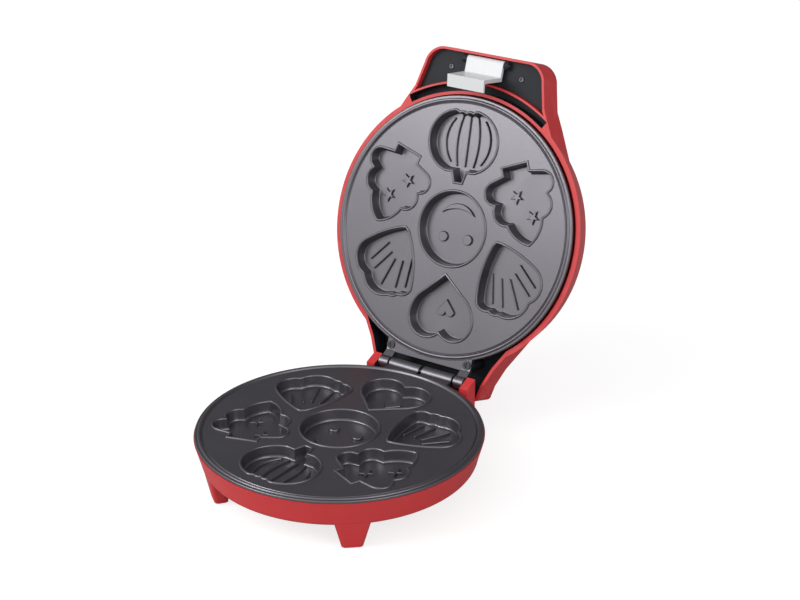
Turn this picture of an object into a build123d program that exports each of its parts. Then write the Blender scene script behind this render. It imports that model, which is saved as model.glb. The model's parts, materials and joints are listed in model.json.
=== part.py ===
from build123d import *
import math
import os

os.makedirs("parts", exist_ok=True)

# Countertop cookie maker, lid open, standing on its four feet.
# Lengths are in millimetres and angles in degrees. +X is the user's right,
# +Y points to the hinge, +Z is up, and the table is at Z = 0.

# Overall layout
mating_height = 43.3
closed_gap = 0.7
hinge_setback = 7.25
hinge_drop = 2.7
open_angle = 109.3
running_gap = 0.3
seat_gap = 0.1

# Cooking plates
lower_plate_radius = 102.4
upper_plate_radius = lower_plate_radius - 3.2
face_depth = 1.0
plate_skin = 3.0
bead_width = 2.6
groove_width = 1.4
groove_depth = 0.6
flange_width = 2.0
skirt_depth = 3.0

# Moulds, shared by both plates
mould_turn = -3.5
mould_depth = 9.0
mould_draft = 18.0
lip_width = 2.0
cup_floor = 2.2
relief_height = 1.8
rib_width = 1.5
smiley_radius = 29.5
eye_radius = 4.1
star_radius = 5.7

# Base shell
wall = 2.4
base_rim_radius = lower_plate_radius + 0.5
base_foot_radius = base_rim_radius - 4.2
base_taper_depth = 18.2
base_depth = 23.5
base_floor_radius = base_foot_radius - 4.7

# Legs and their pads
leg_angle = 39.7
rear_leg_angle = 16.0
leg_reach = base_foot_radius - 0.7
leg_top_width = 27.0
leg_foot_width = 15.0
leg_top_thickness = 14.0
leg_foot_thickness = 10.0
leg_lean = 5.0
leg_corner = 3.0
pad_radius = 4.0
pad_height = 0.8
pad_plug = 2.0

# Hinge
hinge_reach = lower_plate_radius + hinge_setback
barrel_radius = 4.8
pin_radius = 2.0
pin_fit = 0.05
barrel_inner = 1.2
barrel_outer = 27.5
knuckle_inner = 28.8
knuckle_outer = 37.0
cheek_inner = 37.6
cheek_outer = 44.4
cheek_reach = 9.0
cheek_front_drop = 2.2
cheek_rise = 1.9
block_back = hinge_reach + 2.65
rear_leg_reach = block_back + 0.2
arm_root = 5.0
arm_slope = 2.0
tab_half_width = 37.0
tab_reach = hinge_reach - 8.05
tab_length = 24.0
tab_corner = 6.0
tab_screw_x = 33.5
tab_screw_y = tab_reach - 5.1
head_sink = 0.9

# Lid shell
lid_rim_height = 4.5
lid_rim_radius = upper_plate_radius + 4.8
lid_shoulder_radius = lid_rim_radius - 5.6
lid_shoulder_height = 25.0
lid_crown_radius = lid_shoulder_radius - 10.4
lid_crown_height = 31.0
lid_height = 33.5
plate_clearance = 1.0
handle_height = 26.0
neck_height = 24.0
slot_inner = lid_rim_radius - 1.5
slot_outer = slot_inner + 6
slot_half_angle = 33.0
slot_floor = 14.0
cover_inner = slot_outer + 1.5
cover_face = 9.2
cover_thickness = 2.0
cover_ledge = 2.0
cover_screw_x = 30.0
handle_rim = 1.8
cover_sink = 1.0
cover_screw_y = -cover_inner - 7.7
handle_end = -cover_inner - 21.5
neck_end = hinge_reach + 12.35

# Latch
latch_width = 31.0
latch_shelf_y = -base_rim_radius - 10.5
latch_pivot_y = latch_shelf_y - 12.2
latch_pivot_height = 6.9
latch_barrel_radius = 3.1
latch_plate_thickness = 2.8
latch_drop = 19.5
latch_lip = 7.6
latch_pin_radius = 1.2
lug_width = 3.6

# Heating and wiring
element_radius = 3.25
element_ring = 58.0
element_tail_gap = 8.0
element_bend = 8.0
element_tail_end = base_rim_radius - 16.4
lower_tail_angle = 60.0
reflector_radius = element_tail_end - 6.5
reflector_thickness = 0.6
reflector_drop = 19.0
reflector_rim = 1.0
saddle_width = 10.0
saddle_depth = 9.0
block_length = 26.0
block_width = 7.0
block_height = 8.0
wire_radius = 1.0
wire_ring = base_rim_radius - 9.6
gland_radius = 5.0
gland_bore = 3.2
gland_flange = 6.2

# Screws
screw_radius = 1.5
screw_head_radius = 3.1
head_height_share = 1.33
screw_head_height = screw_radius * head_height_share
small_screw_radius = 1.1
small_head_radius = 1.9
cross_width = 0.9
cross_share = 1.16
cross_depth = 1.0
boss_radius = 3.6
boss_joint = 14.0
screw_hole = 6.0
long_hole = 11.0
tip_slack = 1.0
head_play = 0.3
lamp_spacing = 24.0
lamp_y = -46.0
lens_radius = 4.0
lens_flange = 5.2
bulb_radius = 2.6
bulb_length = 8.0

# Frames: the base's mating plane, and the lid's mating plane swung open about the hinge
hinge_height = mating_height - hinge_drop
base_top = Plane.XY.offset(mating_height)
swing = math.radians(open_angle)
lid_rise = hinge_drop + closed_gap
lid_origin = (
    0,
    hinge_reach - hinge_reach * math.cos(swing) + lid_rise * math.sin(swing),
    hinge_height + hinge_reach * math.sin(swing) + lid_rise * math.cos(swing),
)
lid_face = Plane(origin=lid_origin, x_dir=(1, 0, 0), z_dir=(0, math.sin(swing), math.cos(swing)))


def turned(frame, angle):
    """A frame turned about its own Z."""
    turn = math.radians(angle)
    x_dir = frame.x_dir * math.cos(turn) + frame.y_dir * math.sin(turn)
    return Plane(origin=frame.origin, x_dir=x_dir, z_dir=frame.z_dir)


base_moulds = turned(base_top, mould_turn)
lid_moulds = turned(lid_face, mould_turn)


def section_plane(frame):
    """The plane that holds a frame's X and Z directions, for half sections."""
    return Plane(origin=frame.origin, x_dir=frame.x_dir, z_dir=-frame.y_dir)


def side_plane(frame, x=0):
    """The plane square to X at x, with the frame's Y to the right and its Z up."""
    return Plane(origin=frame.origin + frame.x_dir * x, x_dir=frame.y_dir, z_dir=frame.x_dir)


def spin_axis(frame):
    """The frame's own Z axis."""
    return Axis(frame.origin, frame.z_dir)


# Mould outlines, seen from above with the lid closed, hinge at the top.
# Each one is the outer edge of the raised lip round its cavity.
heart_tip = 33.0
heart_notch = 80.0
with BuildSketch() as heart:
    with BuildLine():
        heart_lobe = ThreePointArc((0, heart_notch), (13, 84.5), (28.3, 68))
        heart_side = ThreePointArc(heart_lobe @ 1, (25.8, 58), (16, 47))
        Line(heart_side @ 1, (0, heart_tip))
        mirror(about=Plane.YZ)
    make_face()
    fillet(heart.vertices().group_by(Axis.Y)[0], radius=2.5)

with BuildSketch() as pumpkin:
    with BuildLine():
        pumpkin_stem = Polyline((0, -33.3), (4.2, -33.3), (6.7, -41.7), (12, -41.7))
        pumpkin_side = ThreePointArc(pumpkin_stem @ 1, (30.2, -65), (12, -88.6))
        Line(pumpkin_side @ 1, (0, -87.4))
        mirror(about=Plane.YZ)
    make_face()

shell_hinge_corner = (35.6, 6.6)
with BuildSketch() as scallop:
    with BuildLine():
        shell_left = ThreePointArc(shell_hinge_corner, (28.5, 28), (27.5, 51))
        shell_lobe_1 = ThreePointArc(shell_left @ 1, (32.6, 56), (39.4, 56.7))
        shell_lobe_2 = ThreePointArc(shell_lobe_1 @ 1, (43.6, 58.6), (47.6, 58.2))
        shell_lobe_3 = ThreePointArc(shell_lobe_2 @ 1, (59.6, 58.6), (72.4, 45))
        shell_lobe_4 = ThreePointArc(shell_lobe_3 @ 1, (81, 31), (75, 18.6))
        shell_base = ThreePointArc(shell_lobe_4 @ 1, (58, 8.9), (43.5, 3.8))
        ThreePointArc(shell_base @ 1, (38.6, 3.4), shell_hinge_corner)
    make_face()

tree_centre = (54.75, -26.8)
tree_tilt = -20.1
tree_apex = 32.5
tree_foot = -29.5
with BuildSketch() as tree:
    with BuildLine():
        tree_top = ThreePointArc((0, tree_apex), (9.6, 25.6), (15.3, 14.9))
        tree_middle = ThreePointArc(tree_top @ 1, (24.6, 6.6), (23.2, -2.4))
        tree_bottom = ThreePointArc(tree_middle @ 1, (29.2, -13.3), (22.2, -20.5))
        Polyline(tree_bottom @ 1, (11.8, -22.8), (11.8, tree_foot), (0, tree_foot))
        mirror(about=Plane.YZ)
    make_face()

with BuildSketch() as smiley:
    Circle(smiley_radius)

with BuildSketch() as lip_outlines:
    add(heart.sketch)
    add(pumpkin.sketch)
    add(scallop.sketch)
    add(mirror(scallop.sketch, about=Plane.YZ, mode=Mode.PRIVATE))
    with Locations(Location(tree_centre, tree_tilt)):
        add(tree.sketch)
    with Locations(Location((-tree_centre[0], tree_centre[1]), -tree_tilt)):
        add(tree.sketch)
    add(smiley.sketch)

openings = [offset(outline, amount=-lip_width) for outline in lip_outlines.sketch.faces()]

# Raised pictures on the cavity floors
mouth_end = (14.3, -10.4)
heart_centre = (0, 60)
star_centres = ((62.0, -17.5), (46.8, -30.3))
pumpkin_ribs = (
    ((7, -47), (9.2, -65), (6.5, -83.5)),
    ((13, -49.5), (18.8, -65), (13, -81.5)),
)
ridge_lines = (
    ((35.1, 28.8), (38, 50)),
    ((43, 31.2), (46.6, 51.5)),
    ((50.1, 30.6), (59.4, 51)),
    ((53.8, 25.8), (67, 39.8)),
    ((57.2, 18.9), (70.9, 33)),
)


def draw_ridge(start, end):
    """A round-ended ridge between two points."""
    run = Vector(*end) - Vector(*start)
    middle = (Vector(*end) + Vector(*start)) * 0.5
    with Locations(Location(middle, math.degrees(math.atan2(run.Y, run.X)))):
        SlotOverall(run.length, rib_width)


def draw_rib(start, middle, end):
    """A round-ended curved ridge through three points."""
    SlotArc(Edge.make_three_point_arc(start, middle, end), rib_width)


def star_points(radius, turn=-5):
    """The ten corners of a five-pointed star."""
    corners = []
    for index in range(10):
        reach = radius if index % 2 == 0 else radius * 0.42
        angle = math.radians(turn + 90 + 36 * index)
        corners.append((reach * math.cos(angle), reach * math.sin(angle)))
    return corners


with BuildSketch() as small_heart:
    with BuildLine():
        relief_lobe = ThreePointArc((0, 3.6), (4.2, 6.4), (7.5, 2))
        Line(relief_lobe @ 1, (0, -7))
        mirror(about=Plane.YZ)
    make_face()

with BuildSketch() as reliefs:
    with Locations((-10.5, 7), (10.5, 7)):
        Circle(eye_radius)
    with BuildLine():
        mouth_lower = ThreePointArc((-mouth_end[0], mouth_end[1]), (0, -19.2), mouth_end)
        ThreePointArc(mouth_lower @ 1, (0, -14.7), mouth_lower @ 0)
    make_face()
    with Locations(heart_centre):
        add(small_heart.sketch)
    draw_ridge((0, -47), (0, -84))
    for rib_start, rib_middle, rib_end in pumpkin_ribs:
        draw_rib(rib_start, rib_middle, rib_end)
        draw_rib((-rib_start[0], rib_start[1]), (-rib_middle[0], rib_middle[1]), (-rib_end[0], rib_end[1]))
    for ridge_start, ridge_end in ridge_lines:
        draw_ridge(ridge_start, ridge_end)
        draw_ridge((-ridge_start[0], ridge_start[1]), (-ridge_end[0], ridge_end[1]))
    for star_x, star_y in star_centres:
        with Locations((star_x, star_y), (-star_x, star_y)):
            Polygon(*star_points(star_radius), align=None)


def plate_section(frame, radius, into):
    """Half section of a plate: r outward, and into is the sign of the way in from its face."""
    crest = radius - flange_width - bead_width
    groove = crest - groove_width
    back = into * (face_depth + plate_skin)
    with BuildSketch(section_plane(frame)) as section:
        with BuildLine():
            bead = ThreePointArc(
                (crest, into * face_depth),
                (crest + bead_width / 2, 0),
                (crest + bead_width, into * face_depth),
            )
            edge = ThreePointArc(
                (radius - face_depth, into * face_depth),
                (radius - 0.3 * face_depth, into * 1.3 * face_depth),
                (radius, into * 2 * face_depth),
            )
            Line(bead @ 1, edge @ 0)
            Polyline(
                edge @ 1,
                (radius, into * skirt_depth),
                (radius - wall, into * skirt_depth),
                (radius - wall, back),
                (0, back),
                (0, into * face_depth),
                (groove, into * face_depth),
                (groove + groove_width * 0.3, into * (face_depth + groove_depth)),
                (groove + groove_width * 0.7, into * (face_depth + groove_depth)),
                bead @ 0,
            )
        make_face()
    return section.sketch


def placed(plane, drawing):
    """A drawing laid on a plane."""
    with BuildSketch(plane) as laid:
        add(drawing)
    return laid.sketch


def form_plate(frame, mould_frame, radius, into):
    """A plate's disc with its rim bead, seven lipped moulds and their pictures."""
    revolve(plate_section(frame, radius, into), axis=spin_axis(frame))
    lips = placed(mould_frame.offset(into * face_depth), lip_outlines.sketch)
    extrude(lips, amount=-into * face_depth)
    for opening in openings:
        mouth = placed(mould_frame.offset(into * face_depth), opening)
        extrude(mouth, amount=into * (mould_depth + cup_floor - face_depth))
    for opening in openings:
        mouth = placed(mould_frame, opening)
        extrude(mouth, amount=into * mould_depth, taper=mould_draft, mode=Mode.SUBTRACT)
    pictures = placed(mould_frame.offset(into * mould_depth), reliefs.sketch)
    extrude(pictures, amount=-into * relief_height)


def spot(frame, centre, height):
    """A plane at a place on a frame, for round bosses, screws and posts."""
    return Plane(
        origin=frame.from_local_coords((centre[0], centre[1], height)),
        x_dir=frame.x_dir,
        z_dir=frame.z_dir,
    )


def post(frame, centre, radius, start, end, mode=Mode.ADD):
    """A round post between two heights of a frame."""
    with BuildSketch(spot(frame, centre, start)) as disc:
        Circle(radius)
    extrude(disc.sketch, amount=end - start, mode=mode)


def slab(frame, centre, length, width, start, end, mode=Mode.ADD):
    """A box between two heights of a frame."""
    with BuildSketch(spot(frame, centre, start)) as footprint:
        Rectangle(length, width)
    extrude(footprint.sketch, amount=end - start, mode=mode)


def side_slab(frame, near_x, far_x, corners, mode=Mode.ADD):
    """A face in a frame's Y and Z, drawn out between two X places."""
    with BuildSketch(side_plane(frame, near_x)) as profile:
        with BuildLine():
            Polyline(*corners, close=True)
        make_face()
    extrude(profile.sketch, amount=far_x - near_x, mode=mode)


def cross_bar(frame, near_x, far_x, centre, radius, mode=Mode.ADD):
    """A round bar along X between two X places, centred at a frame's Y and Z."""
    with BuildSketch(side_plane(frame, near_x)) as disc:
        with Locations(centre):
            Circle(radius)
    extrude(disc.sketch, amount=far_x - near_x, mode=mode)


def pan_screw(frame, centre, seat, tip, shank=screw_radius, head=screw_head_radius):
    """A cross-head screw whose head stands on its seat and whose shank runs to its tip."""
    out = 1 if seat > tip else -1
    cross_length = head * cross_share
    top = seat + out * shank * head_height_share
    post(frame, centre, shank, tip, seat)
    post(frame, centre, head, seat, top)
    slab(frame, centre, cross_length, cross_width, top, top - out * cross_depth, Mode.SUBTRACT)
    slab(frame, centre, cross_width, cross_length, top, top - out * cross_depth, Mode.SUBTRACT)


def finish(piece, name):
    """Label a piece and write its file."""
    piece.part.label = name
    export_step(piece.part, f"parts/{name}.step")


axis_low = (hinge_reach, -hinge_drop)
axis_high = (hinge_reach, -lid_rise)
plate_back = face_depth + plate_skin
boss_spots = ((-44, 74), (44, 74), (-46, -74), (46, -74))
boss_top = -boss_joint
thermostat_spot = (wire_ring - 7.3, 0)
sides = (-1, 1)

# Lower plate, with its four screw bosses, fuse seat and two hinge barrels
fuse_radius = 2.3
fuse_length = 12.0
fuse_seat = 6.0
wire_level = -10.0
with BuildPart() as lower_plate:
    form_plate(base_top, base_moulds, lower_plate_radius, -1)
    for boss in boss_spots:
        post(base_moulds, boss, boss_radius, -plate_back, boss_top)
        post(base_moulds, boss, screw_radius, boss_top, boss_top + screw_hole, Mode.SUBTRACT)
    slab(base_moulds, (-wire_ring, 0), 2 * fuse_radius, fuse_seat, -plate_back, wire_level + fuse_radius)
    for side in sides:
        arm = (
            (lower_plate_radius - arm_root, -plate_back - face_depth),
            (hinge_reach, -plate_back - face_depth),
            (hinge_reach, -face_depth),
            (lower_plate_radius - arm_root, -face_depth - 0.5),
        )
        side_slab(base_top, side * barrel_inner, side * barrel_outer, arm)
        cross_bar(base_top, side * barrel_inner, side * barrel_outer, axis_low, barrel_radius)
    cross_bar(base_top, -barrel_outer, barrel_outer, axis_low, pin_radius + pin_fit, Mode.SUBTRACT)
finish(lower_plate, "lower_plate")

# Upper plate, with its screwed flange tab and two outer hinge knuckles
lid_boss_spots = boss_spots[2:]
head_seat = face_depth + head_sink
with BuildPart() as upper_plate:
    form_plate(lid_face, lid_moulds, upper_plate_radius, 1)
    for boss in lid_boss_spots:
        post(lid_moulds, boss, boss_radius, plate_back, boss_joint)
        post(lid_moulds, boss, screw_radius, boss_joint - screw_hole, boss_joint, Mode.SUBTRACT)
    with BuildSketch(lid_face.offset(face_depth)) as tab:
        with Locations((0, tab_reach - tab_length / 2)):
            RectangleRounded(2 * tab_half_width, tab_length, tab_corner)
        Circle(upper_plate_radius - flange_width, mode=Mode.SUBTRACT)
    extrude(tab.sketch, amount=plate_skin)
    for side in sides:
        arm = (
            (tab_reach - 1.2, face_depth),
            (hinge_reach - arm_slope, -lid_rise - arm_slope),
            (hinge_reach + arm_slope, -lid_rise + arm_slope),
            (tab_reach + 1, plate_back),
            (tab_reach - arm_root, plate_back),
            (tab_reach - arm_root, face_depth + 0.5),
        )
        side_slab(lid_face, side * knuckle_inner, side * knuckle_outer, arm)
        cross_bar(lid_face, side * knuckle_inner, side * knuckle_outer, axis_high, barrel_radius)
        flange_hole = (side * tab_screw_x, tab_screw_y)
        post(lid_face, flange_hole, screw_radius + pin_fit, 0, plate_back, Mode.SUBTRACT)
        post(lid_face, flange_hole, screw_head_radius + running_gap, 0, head_seat, Mode.SUBTRACT)
    cross_bar(lid_face, -knuckle_outer, knuckle_outer, axis_high, pin_radius + pin_fit, Mode.SUBTRACT)
finish(upper_plate, "upper_plate")

# Hinge pin, held at both ends in the base's cheeks
pin_end = 42.0
with BuildPart() as hinge_pin:
    cross_bar(base_top, -pin_end, pin_end, axis_low, pin_radius)
finish(hinge_pin, "hinge_pin")

# Base shell with legs, hinge block and cheeks
rim_seat = -skirt_depth
floor_top = -base_depth + wall
cavity_wall = base_rim_radius - wall
shelf_level = -reflector_drop
block_front = base_floor_radius - 8
base_head_seat = -base_depth + screw_head_height + head_play
rest_angles = (45, 135, 225, 315)
rest_ring = reflector_radius - 8
hinge_well = -8.5
well_length = 40.0
legs = (
    (270 - leg_angle, leg_reach),
    (270 + leg_angle, leg_reach),
    (90 - rear_leg_angle, rear_leg_reach),
    (90 + rear_leg_angle, rear_leg_reach),
)
leg_top = mating_height - base_taper_depth
pad_inset = leg_lean + leg_foot_thickness / 2
terminal_angle = 90 + lower_tail_angle
terminal_frame = turned(base_top, lower_tail_angle)
terminal_centre = (0, element_tail_end + block_width / 2)
gland_level = -12.0
gland_start = base_floor_radius
gland_end = gland_start + 13
gland_flange_depth = 1.4
gland_plane = Plane(
    origin=terminal_frame.from_local_coords((0, gland_start, gland_level)),
    x_dir=terminal_frame.x_dir,
    z_dir=terminal_frame.y_dir,
)
with BuildPart() as base_shell:
    with BuildSketch(section_plane(base_top)):
        with BuildLine():
            foot_curve = ThreePointArc(
                (base_foot_radius, -base_taper_depth),
                (base_foot_radius - 1.4, -base_taper_depth - 3.4),
                (base_floor_radius, -base_depth),
            )
            Polyline(
                foot_curve @ 1,
                (0, -base_depth),
                (0, rim_seat),
                (base_rim_radius, rim_seat),
                foot_curve @ 0,
            )
        make_face()
    revolve(axis=spin_axis(base_top))
    block_middle = (0, (block_front + block_back) / 2)
    slab(base_top, block_middle, 2 * cheek_outer, block_back - block_front, -base_depth, hinge_well)
    for side in sides:
        cheek = (
            (hinge_reach - cheek_reach, -base_depth + wall),
            (block_back, -base_depth + wall),
            (block_back, cheek_rise),
            (hinge_reach - cheek_reach, -cheek_front_drop),
        )
        side_slab(base_top, side * cheek_inner, side * cheek_outer, cheek)
    for angle, reach in legs:
        leg_frame = turned(Plane.XY, angle)
        with BuildSketch(leg_frame.offset(leg_top)):
            with Locations((reach - leg_top_thickness / 2, 0)):
                RectangleRounded(leg_top_thickness, leg_top_width, leg_corner)
        with BuildSketch(leg_frame.offset(pad_height)):
            with Locations((reach - pad_inset, 0)):
                RectangleRounded(leg_foot_thickness, leg_foot_width, leg_corner)
        loft()
        post(leg_frame, (reach - pad_inset, 0), pad_radius, 0, pad_height + pad_plug, Mode.SUBTRACT)
    with BuildSketch(section_plane(base_top)):
        with BuildLine():
            Polyline(
                (0, floor_top),
                (base_floor_radius - wall, floor_top),
                (base_foot_radius - wall, -base_taper_depth),
                (cavity_wall, rim_seat),
                (0, rim_seat),
                close=True,
            )
        make_face()
    revolve(axis=spin_axis(base_top), mode=Mode.SUBTRACT)
    slab(
        base_top,
        (0, (block_front + block_back - wall) / 2),
        2 * (cheek_outer - wall),
        block_back - wall - block_front,
        floor_top,
        hinge_well - wall,
        Mode.SUBTRACT,
    )
    slab(base_top, (0, hinge_reach), 2 * cheek_inner, well_length, hinge_well, 0, Mode.SUBTRACT)
    cross_bar(base_top, -pin_end, pin_end, axis_low, pin_radius + pin_fit, Mode.SUBTRACT)
    for boss in boss_spots:
        post(base_moulds, boss, boss_radius, floor_top - wall / 2, boss_top)
        post(base_moulds, boss, screw_radius + pin_fit, -base_depth, boss_top, Mode.SUBTRACT)
        post(base_moulds, boss, screw_head_radius + head_play, -base_depth, base_head_seat, Mode.SUBTRACT)
    for rest_angle in rest_angles:
        rest = turned(base_top, rest_angle)
        post(rest, (rest_ring, 0), boss_radius, floor_top - wall / 2, shelf_level - reflector_thickness)
    slab(terminal_frame, terminal_centre, block_length, block_width, floor_top - wall / 2, shelf_level)
    with BuildSketch(gland_plane) as gland_hole:
        Circle(gland_radius)
    extrude(gland_hole.sketch, amount=gland_end - gland_start, mode=Mode.SUBTRACT)
finish(base_shell, "base_shell")

with BuildPart() as foot_pads:
    for angle, reach in legs:
        post(turned(Plane.XY, angle), (reach - pad_inset, 0), pad_radius, 0, pad_height + pad_plug)
finish(foot_pads, "foot_pads")

# Cord gland in the back left of the base's wall
with BuildPart() as cord_gland:
    with BuildSketch(gland_plane):
        Circle(gland_radius)
    extrude(amount=gland_end - gland_start)
    fillet(cord_gland.edges().group_by(Axis((0, 0, 0), gland_plane.z_dir))[-1], radius=1)
    with BuildSketch(gland_plane):
        Circle(gland_flange)
    extrude(amount=gland_flange_depth)
    with BuildSketch(gland_plane):
        Circle(gland_bore)
    extrude(amount=gland_end - gland_start, mode=Mode.SUBTRACT)
finish(cord_gland, "cord_gland")

with BuildPart() as lower_plate_screws:
    for boss in boss_spots:
        pan_screw(base_moulds, boss, base_head_seat, boss_top + screw_hole - tip_slack)
finish(lower_plate_screws, "lower_plate_screws")


# One tubular heating element, drawn flat: an open ring whose two tails run out to the terminals
bend_reach = element_ring + element_bend
bend_x = element_tail_gap + element_bend
bend_y = math.sqrt(bend_reach ** 2 - bend_x ** 2)
bend_turn = math.degrees(math.atan2(bend_y, bend_x))
with BuildPart() as element_form:
    with BuildLine() as element_path:
        tail = Line((element_tail_gap, element_tail_end), (element_tail_gap, bend_y))
        JernArc(tail @ 1, (0, -1), element_bend, bend_turn)
        ring = CenterArc((0, 0), element_ring, bend_turn, -(180 + 2 * bend_turn))
        ring_end = ring @ 1
        JernArc(ring_end, ring % 1, element_bend, bend_turn)
        Line((-element_tail_gap, bend_y), (-element_tail_gap, element_tail_end))
    with BuildSketch(Plane(origin=element_path.line @ 0, z_dir=element_path.line % 0)):
        Circle(element_radius)
    sweep(path=element_path.line)


def place_element(frame, level):
    """The heating element laid at a level of a frame."""
    with Locations(frame.offset(level).location):
        add(element_form.part)


def form_saddles(frame, element, element_level, shelf):
    """Four supports that carry the element off its reflector."""
    for saddle_angle in (25, 155, 215, 325):
        slab(turned(frame, saddle_angle), (element_ring, 0), saddle_width, saddle_depth, shelf, element_level)
    add(element, mode=Mode.SUBTRACT)


def form_reflector(frame, shelf, into):
    """A sheet disc with a low rolled rim."""
    post(frame, (0, 0), reflector_radius, shelf, shelf + into * reflector_thickness)
    post(frame, (0, 0), reflector_radius, shelf, shelf - into * reflector_rim)
    hollow = reflector_radius - reflector_thickness
    post(frame, (0, 0), hollow, shelf, shelf - into * reflector_rim, Mode.SUBTRACT)


element_level = mould_depth + cup_floor + seat_gap + element_radius

with BuildPart() as lower_heating_element:
    place_element(terminal_frame, -element_level)
finish(lower_heating_element, "lower_heating_element")

with BuildPart() as lower_element_saddles:
    form_saddles(terminal_frame, lower_heating_element.part, -element_level, -reflector_drop)
finish(lower_element_saddles, "lower_element_saddles")

with BuildPart() as lower_heat_reflector:
    form_reflector(base_top, -reflector_drop, -1)
finish(lower_heat_reflector, "lower_heat_reflector")

# Terminal block, thermostat, thermal fuse and wiring in the base
block_top = -9.0
terminal_pitch = 8.0
terminal_hole = 2.0
with BuildPart() as terminal_block:
    slab(terminal_frame, terminal_centre, block_length, block_width, shelf_level, block_top)
    for screw_x in (-terminal_pitch, 0, terminal_pitch):
        hole = (screw_x, terminal_centre[1])
        post(terminal_frame, hole, terminal_hole, block_top - terminal_hole, block_top, Mode.SUBTRACT)
finish(terminal_block, "terminal_block")

thermostat_radius = 7.5
thermostat_height = 8.0
thermostat_cap = 4.5
thermostat_cap_height = 2.0
thermostat_reach = 4.2
with BuildPart() as thermostat:
    post(base_moulds, thermostat_spot, thermostat_radius, -plate_back, -plate_back - thermostat_height)
    cap_start = -plate_back - thermostat_height
    post(base_moulds, thermostat_spot, thermostat_cap, cap_start, cap_start - thermostat_cap_height)
finish(thermostat, "thermostat")

fuse_plane = Plane(
    origin=base_moulds.from_local_coords((-wire_ring, -fuse_length / 2, wire_level)),
    x_dir=base_moulds.x_dir,
    z_dir=base_moulds.y_dir,
)
with BuildPart() as thermal_fuse:
    with BuildSketch(fuse_plane):
        Circle(fuse_radius)
    extrude(amount=fuse_length)
finish(thermal_fuse, "thermal_fuse")


def degrees_along(length, radius):
    """The angle at which a circle leaves a strip that is twice the length wide."""
    return math.degrees(math.asin(length / radius))


def arc_wire(start_angle, end_angle):
    """A wire that follows the inside of the base's wall between two angles."""
    ring_plane = base_top.offset(wire_level)
    with BuildLine(ring_plane) as route:
        CenterArc((0, 0), wire_ring, start_angle, end_angle - start_angle)
    with BuildSketch(Plane(origin=route.line @ 0, z_dir=route.line % 0)) as strand:
        Circle(wire_radius)
    sweep(strand.sketch, path=route.line)


block_half_angle = degrees_along(block_length / 2 + seat_gap, wire_ring)
fuse_half_angle = degrees_along(fuse_length / 2 + seat_gap, wire_ring)
thermostat_half_angle = degrees_along(thermostat_reach, wire_ring)
with BuildPart() as base_wiring:
    arc_wire(mould_turn + thermostat_half_angle, terminal_angle - block_half_angle)
    arc_wire(terminal_angle + block_half_angle, 180 + mould_turn - fuse_half_angle)
    arc_wire(180 + mould_turn + fuse_half_angle, 360 + mould_turn - thermostat_half_angle)
finish(base_wiring, "base_wiring")

# Lid outlines, seen from above with the lid closed
with BuildSketch() as handle_outline:
    with BuildLine():
        handle_front = Line((0, handle_end), (34, handle_end))
        handle_corner = ThreePointArc(handle_front @ 1, (46, handle_end + 4.1), (51, handle_end + 14))
        handle_root = handle_end + 65.5
        Polyline(
            handle_corner @ 1,
            (55.5, handle_end + 32.5),
            (62.5, handle_end + 45.5),
            (72.5, handle_root),
            (0, handle_root),
        )
        mirror(about=Plane.YZ)
    make_face()

with BuildSketch() as neck_outline:
    with BuildLine():
        neck_root = neck_end - 56
        neck_side = Polyline(
            (0, neck_root),
            (72.5, neck_root),
            (54.5, neck_end - 26.5),
            (48.2, neck_end - 12),
            (46.5, neck_end - 4),
        )
        neck_corner = ThreePointArc(neck_side @ 1, (45.2, neck_end - 1.1), (42, neck_end))
        Line(neck_corner @ 1, (0, neck_end))
        mirror(about=Plane.YZ)
    make_face()

with BuildSketch() as cover_outline:
    add(offset(handle_outline.sketch, amount=-handle_rim, mode=Mode.PRIVATE))
    Circle(cover_inner, mode=Mode.SUBTRACT)

with BuildSketch() as slot_outline:
    with BuildLine():
        slot_middle = (slot_inner + slot_outer) / 2
        slot_arc = CenterArc((0, 0), slot_middle, 270 - slot_half_angle, 2 * slot_half_angle)
    trace(slot_arc, line_width=slot_outer - slot_inner)

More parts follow.
